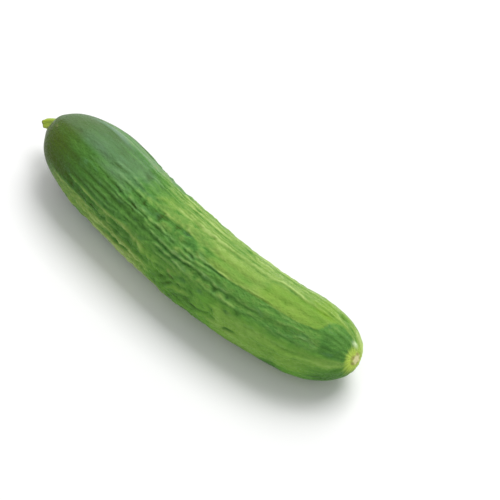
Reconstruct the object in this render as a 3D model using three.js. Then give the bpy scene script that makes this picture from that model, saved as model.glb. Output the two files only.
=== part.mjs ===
// A short, thin-skinned cucumber with the stub of its stalk, lying on a flat surface.
// Millimetres, +Z up. The stalk end points to -X and the blossom end to +X, and the fruit
// bends towards +Y. The origin is on the surface, under the middle of the cucumber's box.

import * as THREE from 'three';

const { clamp, degToRad, euclideanModulo, lerp, smoothstep } = THREE.MathUtils;

// Fruit, with lengths measured along its middle line
const FRUIT_LENGTH = 165;
const FRUIT_DIAMETER = 34.4; // half way along
const TAPER = 0.076; // share of the diameter lost from the stalk end to the blossom end
const STALK_DOME = { length: 33.2, power: 1.87 }; // power 2 is an ellipse, more is blunter
const BLOSSOM_DOME = { length: 37.3, power: 2.91 };
const BEND_START = 31; // straight length behind the stalk
const BEND_ANGLE = degToRad(27.7); // turn of the blossom end

// Skin relief: angles run from the top of the fruit towards -Y
const LOBES = { count: 3, height: 0.4, crest: degToRad(15) };
const FURROWS = {
  count: 20,
  first: degToRad(21),
  width: degToRad(4.6), // from the middle to where a furrow has lost two thirds of its depth
  depth: 0.42, // of an average furrow
  uneven: 0.33, // share by which one furrow is deeper than the average
  swell: 0.3, // share by which a furrow's depth comes and goes along the fruit
  swellWaves: 2.2, // times that it does so
  stray: degToRad(3), // distance from even spacing
  sway: degToRad(2), // sideways wander along the fruit
  swayWaves: 1.4,
};
const RELIEF_RISE = [8, 42]; // the skin is smooth before the first length and fully ribbed from the second
const RELIEF_FADE = [146, 163];

// Blossom scar: a shallow ring groove, a raised rim and a slightly hollow disc
const SCAR = { groove: 2.6, rim: 2.0, disc: 1.5, rimHeight: 0.55, discHeight: 0.38 };

// Flat spot that the fruit rests on, pressed into the lowest line of the skin
const FLAT_DEPTH = 0.9;

// Stalk stub: five blunt angles, a flared foot and a hollow cut end
const SEAT_RADIUS = 3.5; // flat on the fruit that carries the foot
const STUB_GAP = 0.3; // between the seat and the foot
const STUB_TIP = new THREE.Vector3(-5.6, -1.3, -2.8); // from the stalk end of the middle line
const STUB_RISE = 3; // length over which the stub leaves the fruit straight
const STUB_RADIUS = { foot: 2.55, tip: 1.9 };
const FOOT_FLARE = { height: 0.65, power: 4 }; // a higher power keeps the flare closer to the foot
const CUT_LIP = { height: 0.2, start: 0.6 }; // share of the stub's length where the lip begins
const CUT_HOLLOW = { depth: 0.5, radius: 0.95 };
const STUB_ANGLES = { count: 5, height: 0.24 };

// Facets
const FRUIT_COLUMNS = 108;
const FRUIT_ROWS = 42;
const MIDDLE_LINE_STEPS = 60;
const STUB_COLUMNS = 30;
const STUB_ROWS = 9;

const SKIN = { color: 0x5b8a3c, roughness: 0.42, metalness: 0 };
const STALK = { color: 0x9aa63f, roughness: 0.6, metalness: 0 };
const TURN = 2 * Math.PI;
const UPWARDS = new THREE.Vector3(0, 0, 1);

// Repeatable scatter from -1 to 1: the digits far behind the point of a sine look random
function scatter(index, series) {
  const value = 43758.5453 * Math.sin(127.1 * index + 311.7 * series + 3.7);
  return 2 * (value - Math.floor(value)) - 1;
}

// Radius of the fruit without its rounded ends, at a length from the stalk end
function bodyRadius(along) {
  return (FRUIT_DIAMETER / 2) * (1 - TAPER * (along / FRUIT_LENGTH - 0.5));
}

// Share of the full radius at a share of a dome's length, counted from its tip
function domeRadius(share, power) {
  return Math.sqrt(1 - (1 - clamp(share, 0, 1)) ** power);
}

// Length from a dome's tip to where it has the given radius
function domeDepth(dome, radius, fullRadius) {
  return dome.length * (1 - (1 - (radius / fullRadius) ** 2) ** (1 / dome.power));
}

function fruitRadius(along) {
  const stalkEnd = domeRadius(along / STALK_DOME.length, STALK_DOME.power);
  const blossomEnd = domeRadius((FRUIT_LENGTH - along) / BLOSSOM_DOME.length, BLOSSOM_DOME.power);
  return bodyRadius(along) * stalkEnd * blossomEnd;
}

// The middle line is straight behind the stalk and then turns more and more towards +Y. It is
// laid with both ends on a line along X, high enough for the skin to touch the plane z = 0.
function fruitMiddleLine() {
  const step = FRUIT_LENGTH / MIDDLE_LINE_STEPS;
  const points = [new THREE.Vector3()];
  for (let i = 0; i < MIDDLE_LINE_STEPS; i += 1) {
    const turned = Math.max(0, ((i + 0.5) * step - BEND_START) / (FRUIT_LENGTH - BEND_START));
    const heading = BEND_ANGLE * turned ** 2;
    const ahead = new THREE.Vector3(Math.cos(heading), Math.sin(heading), 0);
    points.push(points[i].clone().addScaledVector(ahead, step));
  }
  const end = points[MIDDLE_LINE_STEPS];
  const chordAngle = Math.atan2(end.y, end.x);
  points.forEach((point, i) => {
    point.applyAxisAngle(UPWARDS, -chordAngle);
    point.z = bodyRadius(i * step);
  });
  return new THREE.CatmullRomCurve3(points);
}

// Depth of one furrow at a length share of the fruit and an angle from its top
function furrowDepth(index, share, angle) {
  const stray = FURROWS.stray * scatter(index, 0);
  const sway = FURROWS.sway * Math.sin(TURN * (FURROWS.swayWaves * share + scatter(index, 1)));
  const middle = FURROWS.first + (TURN * index) / FURROWS.count + stray + sway;
  const offset = euclideanModulo(angle - middle + TURN / 2, TURN) - TURN / 2;
  const swell = FURROWS.swell * Math.sin(TURN * (FURROWS.swellWaves * share + scatter(index, 2)));
  const depth = FURROWS.depth * (1 + FURROWS.uneven * scatter(index, 3)) * (1 + swell);
  return depth * Math.exp(-((offset / FURROWS.width) ** 2));
}

// Height of the skin above the round fruit: three soft lobes, cut by many long furrows
function skinRelief(along, angle) {
  let height = LOBES.height * Math.cos(LOBES.count * (angle - LOBES.crest));
  for (let index = 0; index < FURROWS.count; index += 1) {
    height -= furrowDepth(index, along / FRUIT_LENGTH, angle);
  }
  return height * smoothstep(along, ...RELIEF_RISE) * (1 - smoothstep(along, ...RELIEF_FADE));
}

// Bends a turned body along a curve of the given length. Its axis follows the curve, its top
// stays uppermost, and relief(along, angle) is added to its radius.
function bendAlong(geometry, curve, length, relief) {
  const position = geometry.attributes.position;
  const turned = new THREE.Vector3();
  for (let i = 0; i < position.count; i += 1) {
    turned.fromBufferAttribute(position, i);
    const along = clamp(turned.y, 0, length);
    const angle = Math.atan2(turned.x, turned.z);
    const radius = Math.hypot(turned.x, turned.z);
    const raised = radius > 0 ? radius + relief(along, angle) : 0;
    const ahead = curve.getTangentAt(along / length);
    const side = new THREE.Vector3().crossVectors(ahead, UPWARDS).normalize();
    const up = new THREE.Vector3().crossVectors(side, ahead);
    const point = curve.getPointAt(along / length);
    point.addScaledVector(side, raised * Math.sin(angle));
    point.addScaledVector(up, raised * Math.cos(angle));
    point.addScaledVector(ahead, turned.y - along);
    position.setXYZ(i, point.x, point.y, point.z);
  }
  geometry.computeVertexNormals();
  return geometry;
}

// Presses everything below a height up to that height
function pressFlat(geometry, height) {
  const position = geometry.attributes.position;
  for (let i = 0; i < position.count; i += 1) {
    position.setZ(i, Math.max(position.getZ(i), height));
  }
  geometry.computeVertexNormals();
  return geometry;
}

// Lengths along the middle line where the stalk seat begins the skin and the scar ends it
const SEAT_AT = domeDepth(STALK_DOME, SEAT_RADIUS, bodyRadius(0));
const SCAR_AT = FRUIT_LENGTH - domeDepth(BLOSSOM_DOME, SCAR.groove, bodyRadius(FRUIT_LENGTH));

// Half outline of the fruit as (radius, length) points, from the stalk seat to the scar
function fruitOutline() {
  const outline = [new THREE.Vector2(0, SEAT_AT)];
  for (let row = 0; row <= FRUIT_ROWS; row += 1) {
    const share = (1 - Math.cos((Math.PI * row) / FRUIT_ROWS)) / 2;
    const along = lerp(SEAT_AT, SCAR_AT, share);
    outline.push(new THREE.Vector2(fruitRadius(along), along));
  }
  outline.push(new THREE.Vector2(SCAR.rim, SCAR_AT + SCAR.rimHeight));
  outline.push(new THREE.Vector2(SCAR.disc, SCAR_AT + SCAR.discHeight));
  outline.push(new THREE.Vector2(0, SCAR_AT + SCAR.discHeight));
  return outline;
}

// The stub's own middle line: straight out of the seat, then leaning down to its tip
function stubMiddleLine(fruitLine) {
  const outwards = fruitLine.getTangentAt(0).negate();
  const stalkEnd = fruitLine.getPointAt(0);
  const foot = stalkEnd.clone().addScaledVector(outwards, STUB_GAP - SEAT_AT);
  const bend = foot.clone().addScaledVector(outwards, STUB_RISE);
  return new THREE.QuadraticBezierCurve3(foot, bend, stalkEnd.clone().add(STUB_TIP));
}

// Half outline of the stub as (radius, length) points, from its foot to its hollow cut end
function stubOutline(length) {
  const outline = [new THREE.Vector2(0, 0)];
  for (let row = 0; row <= STUB_ROWS; row += 1) {
    const share = row / STUB_ROWS;
    const flare = FOOT_FLARE.height * (1 - share) ** FOOT_FLARE.power;
    const lip = CUT_LIP.height * smoothstep(share, CUT_LIP.start, 1);
    const radius = lerp(STUB_RADIUS.foot, STUB_RADIUS.tip, share) + flare + lip;
    outline.push(new THREE.Vector2(radius, share * length));
  }
  outline.push(new THREE.Vector2(CUT_HOLLOW.radius, length - CUT_HOLLOW.depth));
  outline.push(new THREE.Vector2(0, length - CUT_HOLLOW.depth));
  return outline;
}

function namedMesh(name, geometry, finish) {
  const mesh = new THREE.Mesh(geometry, new THREE.MeshStandardMaterial(finish));
  mesh.name = name;
  return mesh;
}

function makeFruit(line) {
  const turned = new THREE.LatheGeometry(fruitOutline(), FRUIT_COLUMNS);
  const bent = bendAlong(turned, line, FRUIT_LENGTH, skinRelief);
  return namedMesh('fruit', pressFlat(bent, FLAT_DEPTH), SKIN);
}

function makeStemStub(line) {
  const length = line.getLength();
  const turned = new THREE.LatheGeometry(stubOutline(length), STUB_COLUMNS);
  const angled = (along, angle) => STUB_ANGLES.height * Math.cos(STUB_ANGLES.count * angle);
  return namedMesh('stem_stub', bendAlong(turned, line, length, angled), STALK);
}

function makeCucumber() {
  const fruitLine = fruitMiddleLine();
  const cucumber = new THREE.Group();
  cucumber.add(makeFruit(fruitLine));
  cucumber.add(makeStemStub(stubMiddleLine(fruitLine)));
  const box = new THREE.Box3().setFromObject(cucumber, true);
  const middle = box.getCenter(new THREE.Vector3());
  cucumber.position.set(-middle.x, -middle.y, -box.min.z);
  return cucumber;
}

export default makeCucumber();
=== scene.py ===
"""Looks for a short, thin-skinned cucumber with the stub of its stalk, lying on a pale floor."""
import math

import bpy
import numpy as np
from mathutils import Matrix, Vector


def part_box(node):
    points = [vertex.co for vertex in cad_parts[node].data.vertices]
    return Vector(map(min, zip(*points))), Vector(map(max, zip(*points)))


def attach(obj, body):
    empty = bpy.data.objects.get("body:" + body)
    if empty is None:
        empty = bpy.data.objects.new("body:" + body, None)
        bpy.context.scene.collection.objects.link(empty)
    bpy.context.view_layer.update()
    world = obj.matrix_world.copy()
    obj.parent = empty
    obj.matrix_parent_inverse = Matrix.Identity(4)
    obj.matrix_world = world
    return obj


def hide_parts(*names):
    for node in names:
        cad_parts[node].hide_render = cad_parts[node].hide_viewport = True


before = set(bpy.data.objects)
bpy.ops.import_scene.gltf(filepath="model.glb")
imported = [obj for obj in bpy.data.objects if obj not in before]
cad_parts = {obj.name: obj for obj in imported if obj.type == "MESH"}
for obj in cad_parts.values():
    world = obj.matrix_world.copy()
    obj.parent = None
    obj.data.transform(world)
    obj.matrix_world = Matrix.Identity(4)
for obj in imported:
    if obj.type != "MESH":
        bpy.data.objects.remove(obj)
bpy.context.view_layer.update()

MM = 0.001
TURN = 2 * math.pi

# Fruit in millimetres, with lengths along its middle line and angles from its top towards -Y
FRUIT_LENGTH = 165
FRUIT_DIAMETER = 34.4
TAPER = 0.076
STALK_DOME = (33.2, 1.87)
BLOSSOM_DOME = (37.3, 2.91)
BEND_START = 31
BEND_ANGLE = math.radians(27.7)
FLAT_DEPTH = 0.9

# Low relief of the fruit, as on its solid
LOBE_COUNT = 3
LOBE_HEIGHT = 0.4
LOBE_CREST = math.radians(15)
FURROW_COUNT = 20
FIRST_FURROW = math.radians(21)
FURROW_WIDTH = math.radians(4.6)
FURROW_DEPTH = 0.42
FURROW_UNEVEN = 0.33
FURROW_SWELL = 0.3
FURROW_SWELL_WAVES = 2.2
FURROW_STRAY = math.radians(3)
FURROW_SWAY = math.radians(2)
FURROW_SWAY_WAVES = 1.4
RELIEF_RISE = (8, 42)
RELIEF_FADE = (146, 163)

# Creases in the skin: half width, depth and height of the lip above it in millimetres, and the
# path as percents of the length with angles in degrees. A negative depth makes a ridge.
# Each side is listed from the stalk end to the blossom end.
CREASES = [
    # Upper side
    (0.6, 0.26, 0.05, [(9, -40), (15, -45), (20, -49), (26, -53)]),
    (0.9, -0.42, 0, [(10, -36), (15, -37.5), (20, -40), (25, -43), (30, -47)]),
    (0.7, -0.26, 0, [(20, -23), (27, -25), (33, -26)]),
    (0.42, 0.22, 0.26, [(30, -34), (42, -36), (50, -37), (59, -36)]),
    (0.7, -0.3, 0, [(34, -47), (42, -46.5), (47, -46)]),
    (0.6, 0.32, 0.1, [(34, -28), (40, -26), (46, -25)]),
    (0.35, 0.2, 0.24, [(34, -21), (45, -22), (55, -21.5), (64, -23)]),
    (0.42, 0.24, 0.28, [(35, -41), (48, -42.5), (55, -42), (67, -44)]),
    (0.63, -0.26, 0, [(36, -33), (41, -34), (46, -33)]),
    (0.56, 0.34, 0.14, [
        (37, -4), (42, -6), (47, -10), (52, -12), (58, -14.5), (63, -15.5), (75, -15.5),
    ]),
    (0.42, 0.22, 0.26, [(38, -48), (52, -47.5), (63, -50)]),
    (0.63, -0.26, 0, [(40, -13), (45, -14.5), (49, -15)]),
    (0.7, -0.46, 0, [(45, -36), (50, -36.5), (54, -36), (57.5, -35)]),
    (0.56, 0.46, 0.3, [(45, -31), (52, -31), (61, -32)]),
    (0.35, 0.18, 0.22, [(46, -27), (55, -26), (62, -28), (69, -30)]),
    (0.7, -0.4, 0, [(47, -20), (53, -19.5), (62, -19)]),
    (0.63, 0.4, 0.24, [(62, -49), (65, -42), (68.5, -32)]),
    (0.7, -0.26, 0, [(66, -37), (70, -36), (74, -33)]),
    (0.49, 0.3, 0.24, [(66, -25.5), (70, -25), (73.5, -23)]),
    (0.42, 0.2, 0.22, [(70, -34), (80, -31), (89, -30)]),
    (0.42, 0.22, 0.24, [(72, -43), (82, -40), (91, -36)]),
    (0.56, 0.26, 0.34, [(74.5, -13), (76.5, -17), (79, -18), (82, -14), (86, -12)]),
    (0.42, 0.26, 0.28, [(83, -23), (90, -19), (92, -19), (94.5, -17), (96.5, -15)]),
    (0.42, 0.18, 0.16, [(86.5, -13), (88.5, -13), (91, -13)]),
    (0.6, -0.34, 0, [(90, -34), (92, -28), (94, -20), (96, -14), (97.8, -9)]),
    (0.7, -0.4, 0, [(90.5, -50), (93.5, -51), (95.5, -48), (97, -42), (98.2, -34)]),
    (0.49, 0.34, 0.2, [(92.2, -42), (93.5, -39), (95, -36)]),
    (0.49, 0.3, 0.24, [(95.5, -31), (97, -28), (98.5, -24)]),
    # Middle
    (0.49, 0.26, 0.16, [(18, 51.5), (22, 52), (30, 53.5), (34.5, 51)]),
    (0.56, 0.24, 0.14, [(19, 38), (25, 37.5), (36, 35.5)]),
    (0.49, 0.26, 0.08, [(20, 22), (26, 22.5), (32, 24)]),
    (0.49, 0.24, 0.08, [(20, 46.5), (28, 46), (37, 46), (43, 46)]),
    (0.56, 0.34, 0.22, [(25.5, 3.5), (30, 1), (35, 3.5)]),
    (0.42, 0.22, 0.2, [(27, 30), (34, 31), (40, 30), (45, 32)]),
    (0.56, 0.38, 0.24, [(28, 12), (33, 11.5), (39, 12.5)]),
    (0.56, 0.48, 0.28, [(29.5, 23), (35.5, 25), (42, 26), (50, 26.5), (56, 24), (64, 22)]),
    (0.56, 0.3, 0.14, [(38.5, 9), (42.5, 7), (45.5, 7), (49, 5.5), (56, 5.5)]),
    (0.56, 0.44, 0.32, [(44, 37), (49, 38), (54, 39.5), (58.5, 35.5), (62, 37)]),
    (0.42, 0.2, 0.18, [(47, 45), (53, 46.5), (58, 50), (62, 52)]),
    (0.42, 0.22, 0.2, [(48, 29.5), (53, 31), (58, 29.5), (63, 27)]),
    (0.42, 0.2, 0.18, [(48, 54), (52, 53), (56, 56)]),
    (0.49, 0.26, 0.12, [(55.5, 9), (57.5, 5.5), (62, 5)]),
    (0.49, 0.3, 0.24, [(62, 22), (70, 20.5), (77, 17.5), (80, 19)]),
    (0.49, 0.28, 0.2, [(62, 48), (65, 49.5), (68, 49)]),
    (0.49, 0.36, 0.32, [(63.5, 37), (65.5, 39), (68, 37), (70.5, 31)]),
    (0.49, 0.28, 0.26, [(67, 46), (70, 48), (73, 47)]),
    (0.42, 0.26, 0.2, [(69, 36), (72, 36.5), (76, 35)]),
    (0.42, 0.16, 0.14, [(74, 44), (80, 45), (84, 52)]),
    (0.49, 0.2, 0.14, [(76, 27), (79, 22), (83, 25), (86, 24)]),
    (0.42, 0.16, 0.14, [(80, 33), (86, 31), (91, 33)]),
    (0.49, 0.22, 0.16, [(82, 44), (86, 47), (92, 48.5)]),
    (0.49, 0.24, 0.24, [(85.5, 43), (88, 39), (91, 40)]),
    (0.56, 0.22, 0.14, [(92.5, 24), (94.5, 27), (96.5, 30)]),
    (0.56, 0.18, 0.12, [(93, 3), (95, 5), (97, 8)]),
    (0.56, 0.2, 0.12, [(93.5, 15), (95, 18), (96.5, 21)]),
    # Lower side
    (1.4, -0.2, 0, [(11, 76), (20, 76.5), (30, 77)]),
    (0.56, 0.26, 0.04, [(11, 82), (22, 82), (29, 81)]),
    (0.56, 0.28, 0.22, [(15, 87), (26, 87), (33, 86)]),
    (0.75, -0.62, 0, [(18, 58), (24, 58.5), (30, 59.5), (33, 58.5)]),
    (0.49, 0.22, 0.12, [(18, 67), (25, 69), (31, 71)]),
    (0.56, 0.28, 0.22, [(27, 94), (36, 95), (43, 97)]),
    (0.8, 0.56, 0.1, [(28, 91), (33, 91), (38, 93), (43, 92), (46, 96)]),
    (0.49, 0.34, 0.18, [(29, 70.5), (33, 72), (41, 71)]),
    (0.77, -0.42, 0, [(30.3, 93), (31, 82), (32.2, 76), (34.5, 76.5), (38, 79), (41, 79)]),
    (0.8, -0.6, 0, [(33.5, 58.5), (36, 56), (38.5, 55.5), (42, 58.5), (44.5, 62), (47.5, 66)]),
    (0.7, -0.34, 0, [(33.6, 101), (34.8, 91), (35.8, 82)]),
    (0.7, -0.4, 0, [(34, 98), (40, 96), (47, 81), (50, 74)]),
    (0.7, -0.34, 0, [(36.8, 99), (37.8, 90), (39, 83)]),
    (0.77, -0.38, 0, [(40, 78), (42.5, 82), (44, 90), (45.5, 102)]),
    (0.49, 0.26, 0.2, [(44, 71), (51, 66), (59, 68)]),
    (0.7, -0.36, 0, [(44.3, 78), (45.5, 86), (46.4, 100)]),
    (0.63, 0.36, 0.25, [(50, 98), (52, 90), (53.8, 80), (55.6, 72), (57.5, 67)]),
    (0.9, -0.46, 0, [(52.2, 101), (54, 89), (55.6, 79), (58.5, 73)]),
    (0.9, 0.36, 0.1, [(54.5, 104), (56.2, 91), (57.8, 82), (61, 78)]),
    (0.6, 0.3, 0.2, [(61, 83), (64.5, 82), (66.2, 75), (66.9, 68), (69, 63)]),
    (0.7, 0.3, 0.2, [(62, 103), (64, 95), (66.5, 85)]),
    (0.49, 0.18, 0.16, [(70, 62), (78, 60), (88, 61)]),
    (0.49, 0.18, 0.16, [(76, 69), (83, 71), (92, 68)]),
    (0.7, -0.24, 0, [(90, 66), (93, 67.5), (97, 67)]),
]

# How creases look: their ends and strength, lips in widths of the groove, and tones, with painted shade in
# the groove and a paler lip that is partly pale skin and partly a painted highlight
CREASE_FADE = 2.2
CREASE_FADE_SHARE = 0.35
CREASE_LEVEL = 0.78
CREASE_RANGE = (0.05, 1.5)
CREASE_RELIEF = 0.82
FOLD_POWER = 1.25
RIDGE_STEADY = 0.4
LIP_PLACE = 1.6
LIP_WIDTH = 1.1
LIP_PALE_PLACE = 2.1
LIP_PALENESS_AND_SHEEN = 1.1
GROOVE_SHADE = 0.84
CREST_SHEEN_GAIN = 3.5
CALM_SHARE = 0.35
CALM_ALONG = (58, 72)
CALM_ROUND = (18, 60, 6)
STIFF_WOBBLE = 0.3
LOOSE_ALONG = (20, 42)

# Lumps and dents: percent of the length, angle in degrees, half length, half width and height
LUMPS = [
    # Upper side
    (31.5, -35, 1.8, 1, 0.44), (32, -28, 2.2, 1.2, -0.34), (33, -19, 2.4, 1.2, -0.36),
    (33, -1.5, 2.6, 1, 0.24), (35, -5.5, 1, 0.9, -0.32), (35.3, -46, 2.4, 1.2, 0.42),
    (36.5, -7, 3, 1.4, 0.22), (38.8, -35, 2, 1.2, 0.5), (39, -19, 2.2, 1, -0.28),
    (41.5, -30, 4, 0.8, 0.16), (47.5, -41, 1.5, 1.2, -0.36), (47.5, -21, 1.2, 0.8, -0.22),
    (51, -21, 1.2, 0.8, -0.3), (74.8, -6, 1.5, 0.9, -0.24), (93.5, -38, 1.8, 1.2, -0.7),
    # Middle
    (11.5, 4, 1.5, 0.8, -0.4), (30, 7, 5, 1.2, 0.2), (33, 18, 6.5, 1, 0.26),
    (37.2, 25.5, 1.6, 1.3, -0.7), (38.5, 15, 0.9, 2, -0.46), (41.2, 15.5, 4.2, 1.7, 0.5),
    (41.5, 11, 3, 0.8, -0.26), (44, 15, 0.9, 2.6, -0.66), (45.5, 9.5, 3, 0.8, -0.24),
    (46.6, 15.5, 3.4, 2.2, 0.56), (49, 13.5, 0.8, 2, -0.6), (50.5, 9, 3, 0.8, -0.2),
    (51.7, 14.5, 4.2, 1.9, 0.46), (54, 14, 0.9, 1.8, -0.46), (59, 45, 5, 2, 0.2),
    (60, 43, 1, 1.5, -0.4), (62.5, 55, 1.4, 1, -0.36), (64, 41, 1.4, 0.9, 0.4),
    (64.2, 29, 1.6, 1, -0.24), (65.5, 43, 1, 1.3, -0.45), (67.3, 40, 1.6, 0.8, 0.42),
    (68, 44, 3, 1.2, 0.22), (69, 41, 0.9, 1.2, -0.4), (70.5, 8, 3.2, 0.8, -0.26),
    (70.5, 45, 1.6, 0.8, 0.36), (72.2, 44, 1, 1.2, -0.36), (72.7, 51.5, 1.4, 0.9, -0.42),
    (75.7, 1, 1.2, 2.2, -0.28), (80.9, 6, 1.8, 1.3, -0.22), (92.4, 51, 0.9, 0.6, 0.3),
    # Lower side
    (33.5, 89, 3.6, 1.2, -0.42), (35.9, 88, 1.8, 1, -0.34), (39.5, 90, 4.6, 0.9, -0.46),
    (50, 72, 2.8, 1, 0.26), (52, 78, 2.4, 1.2, -0.34), (53.8, 62, 1.6, 0.9, 0.4),
    (54.5, 66, 1.8, 0.8, -0.4), (57.2, 92, 2.2, 1.4, -0.4), (57.5, 58, 2.2, 0.9, -0.42),
    (60, 66, 2.6, 1.2, -0.46), (62, 84, 2.4, 1.4, -0.4), (64, 60, 4, 1.8, 0.22),
    (64, 92, 2, 1.2, 0.42), (65.9, 70, 1.2, 1, 0.45), (66.5, 67, 1.6, 1, -0.48),
    (67.5, 79, 1.8, 0.9, -0.48), (68.5, 68, 1.6, 1, 0.5), (69, 75, 1.6, 0.9, 0.42),
    (70, 57, 1.5, 0.9, -0.55), (70.5, 87, 0.9, 0.8, -0.75), (71.1, 84, 1, 0.7, -0.9),
    (71.8, 87, 1.6, 0.8, 0.3), (71.9, 82, 1.2, 0.65, -0.9), (72.9, 81, 1.2, 0.6, -0.6),
    (74.5, 66, 2, 0.9, -0.18), (76, 88, 2.6, 1.2, 0.26), (79.5, 76, 1.4, 0.9, -0.22),
    (82, 84, 2.6, 1.2, -0.2), (85, 70, 2.4, 1, 0.18), (88.5, 80, 1.2, 0.8, -0.16),
    (96.2, 74, 1.6, 1.4, -0.3),
]

# Broad swellings and hollows of the fruit, given like the lumps
BULGES = [
    (6, 74, 9, 11, 1), (3, -35, 10, 10, 0.35), (22, -66, 18, 8, 1),
    (55, -60, 20, 8, 0.4), (55, 106, 8, 7, 0.7), (82, 112, 22, 9, -0.7),
    (77, -58, 10, 7, -0.4),
]

# Hidden side of the fruit between two angles in degrees, with creases and lumps from seeded draws
HIDDEN_SIDE = (98, 305)
HIDDEN_CREASE_SEED = 11
HIDDEN_CREASE_STEP = 5
HIDDEN_CREASE_START = (12, 62)
HIDDEN_CREASE_POINTS = (3, 6)
HIDDEN_CREASE_STRIDE = (4, 7)
HIDDEN_CREASE_SWAY = 2.5
HIDDEN_CREASE_DEPTHS = [0.4, 0.3, 0.3, -0.3]
HIDDEN_CREASE_WIDTH = (0.7, 1.0)
HIDDEN_LIP = 0.6
HIDDEN_LUMP_SEED = 12
HIDDEN_LUMP_COUNT = 60
HIDDEN_LUMP_HEIGHTS = [0.26, 0.2, -0.24]
HIDDEN_LUMP_SIZE = (0.8, 2.0)
HIDDEN_LUMP_PLACE = (16, 90)

# Dry specks on the skin: percent of the length, angle in degrees, half length and half width
BLEMISHES = [
    (4.7, 23, 0.7, 0.5), (53.5, 61, 0.6, 0.9), (54.5, 66, 0.5, 0.6),
    (30.5, -44, 1.2, 0.5), (62, 150, 0.8, 0.6), (33, 210, 0.9, 0.5),
    (78, 255, 0.7, 0.5),
]

# Patches of skin: strength, middle, half width and softness as angles in degrees, and start, end
# and softness as percents of the length
WRINKLED_PATCHES = [
    (1, 3, 19, 7, 31, 60, 5), (0.9, 35, 14, 6, 30, 66, 6),
    (0.5, 58, 9, 6, 30, 66, 6), (0.45, 42, 20, 7, 66, 92, 5),
    (1, 87, 25, 9, 15, 62, 6), (0.55, 87, 25, 9, 62, 93, 6),
    (0.7, -48, 32, 8, 27, 44, 5), (0.45, -48, 32, 8, 44, 92, 6),
    (0.3, 3, 19, 7, 60, 92, 5), (0.7, -164, 84, 10, 16, 74, 8),
]
TONE_SHADE_AND_SHEEN_PATCHES = [
    # Upper side; the pale stripes from -43 to -58 degrees along its edge are partly pale skin and partly a
    # painted highlight
    (0.45, -47, 9, 2.5, 11, 22, 2), (-0.04, -28, 9, 4, 19, 31, 4),
    (-0.06, -33, 4, 2, 20, 33, 3), (0.4, -51, 9, 2.5, 22, 34, 2),
    (0.12, -52, 9, 5, 33, 60, 4), (0.12, -43, 6, 3, 33, 47, 4),
    (0.15, -58, 9, 6, 45, 78, 5), (0.1, -2, 4, 2, 48, 58, 1.5),
    (-0.09, -32, 15, 5, 62, 76, 3), (-0.05, -30, 18, 6, 76, 92, 3),
    (-0.14, -4, 8, 3, 80, 91, 1.5), (-0.15, -38, 9, 4, 90.5, 95.5, 1.2),
    (-0.18, -1, 12, 4, 93.8, 97.6, 0.8), (-0.1, -25, 7, 3, 95.5, 98, 0.8),
    # Middle
    (-0.08, 50, 22, 8, 0, 30, 9), (0.07, 25, 35, 8, 3, 17, 3),
    (0.16, 22, 8, 4, 6, 16, 2), (0.12, 44, 30, 10, 16, 66, 8),
    (-0.1, 27, 5, 3, 22, 36, 3), (-0.2, 17, 4, 2, 25, 33, 2),
    (-0.12, 13, 4, 2, 38.5, 44.5, 1.2), (-0.14, 14, 6, 2.5, 44.3, 45.7, 0.6),
    (-0.11, 55, 10, 3, 55, 67, 2), (-0.12, 6, 4, 2, 56.5, 67, 1),
    (-0.26, 9, 6, 2.5, 57.5, 59.8, 0.8), (-0.08, 10, 9, 2, 61, 76, 2),
    (-0.18, 3, 15, 3, 77, 92, 2), (-0.06, 32, 14, 4, 78, 92, 2),
    (-0.07, 3, 12, 4, 87.5, 92, 1), (0.08, 3, 8, 4, 90.5, 93.5, 0.8),
    (-0.26, 25, 12, 3, 91.8, 94.3, 0.5), (-0.32, 40, 7, 2.5, 92, 97.2, 0.6),
    (-0.14, 25, 12, 3, 94.4, 97.2, 0.6), (0.1, 50, 8, 4, 95.5, 98, 1),
    # Lower side; the darker patches at 116 degrees are painted shade under its edge
    (0.2, 84, 12, 4, 8, 18, 2), (0.45, 114, 9, 4, 8, 54, 10),
    (0.58, 90, 15, 3, 10, 27, 3), (0.22, 132, 18, 8, 10, 78, 12),
    (0.18, 90, 7, 3, 17, 31, 2), (0.1, 61, 4, 2, 20, 47, 3),
    (0.12, 96, 8, 3, 25, 34, 2), (0.4, 109, 8, 4, 25, 45, 3),
    (0.58, 94, 15, 3, 27, 47, 3), (0.25, 185, 48, 14, 30, 90, 10),
    (0.14, 94, 6, 3, 44, 48, 2), (0.14, 77, 5, 3, 49, 56, 2),
    (-0.1, 88, 13, 4, 49, 62, 3), (-0.2, 116, 12, 5, 52, 70, 4),
    (0.2, 87, 7, 4, 66, 73, 2), (0.12, 84, 30, 8, 67, 79, 2),
    (0.26, 84, 30, 8, 67, 92, 2), (-0.28, 116, 13, 5, 80, 97, 3),
    (-0.18, 90, 13, 4, 89.5, 97.5, 1.2), (0.26, 62, 9, 3, 92, 97.5, 1.5),
    (0.1, 59, 8, 3, 92.5, 97, 1),
]
RIPE_PATCHES = [
    (1, 2, 16, 4, 75, 93, 2), (0.5, 4, 14, 4, 60, 74, 3),
    (0.8, -12, 9, 4, 33, 42, 3), (1, -30, 22, 7, 87, 98, 2),
]
FRESH_PATCHES = [
    (1, 80, 32, 6, 62, 91, 3), (0.6, 64, 14, 5, 91, 98, 2),
    (0.6, 80, 30, 8, 44, 62, 4),
]
# Wax bloom at the stalk end, partly real bloom and partly painted sheen: the grey-blue haze on its top and
# the pale stripes along its upper edge are painted highlights
WAXY_AND_SHEEN_PATCHES = [
    (0.9, -34, 40, 9, -10, 13, 4), (0.7, -47, 13, 2.5, 13, 22, 3),
    (0.5, -33, 5, 3, 20, 33, 4), (-0.35, -28, 7, 4, 14, 33, 4),
    (1, -52, 10, 2.5, 22, 33, 4), (0.7, -54, 8, 2.5, 33, 42, 3),
    (0.8, -14, 22, 8, 13, 22, 3), (0.8, -6, 24, 5, 22, 34, 5),
    (0.8, -38, 5, 2, 10, 20, 3), (0.3, -150, 75, 20, -20, 20, 20),
]

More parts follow.
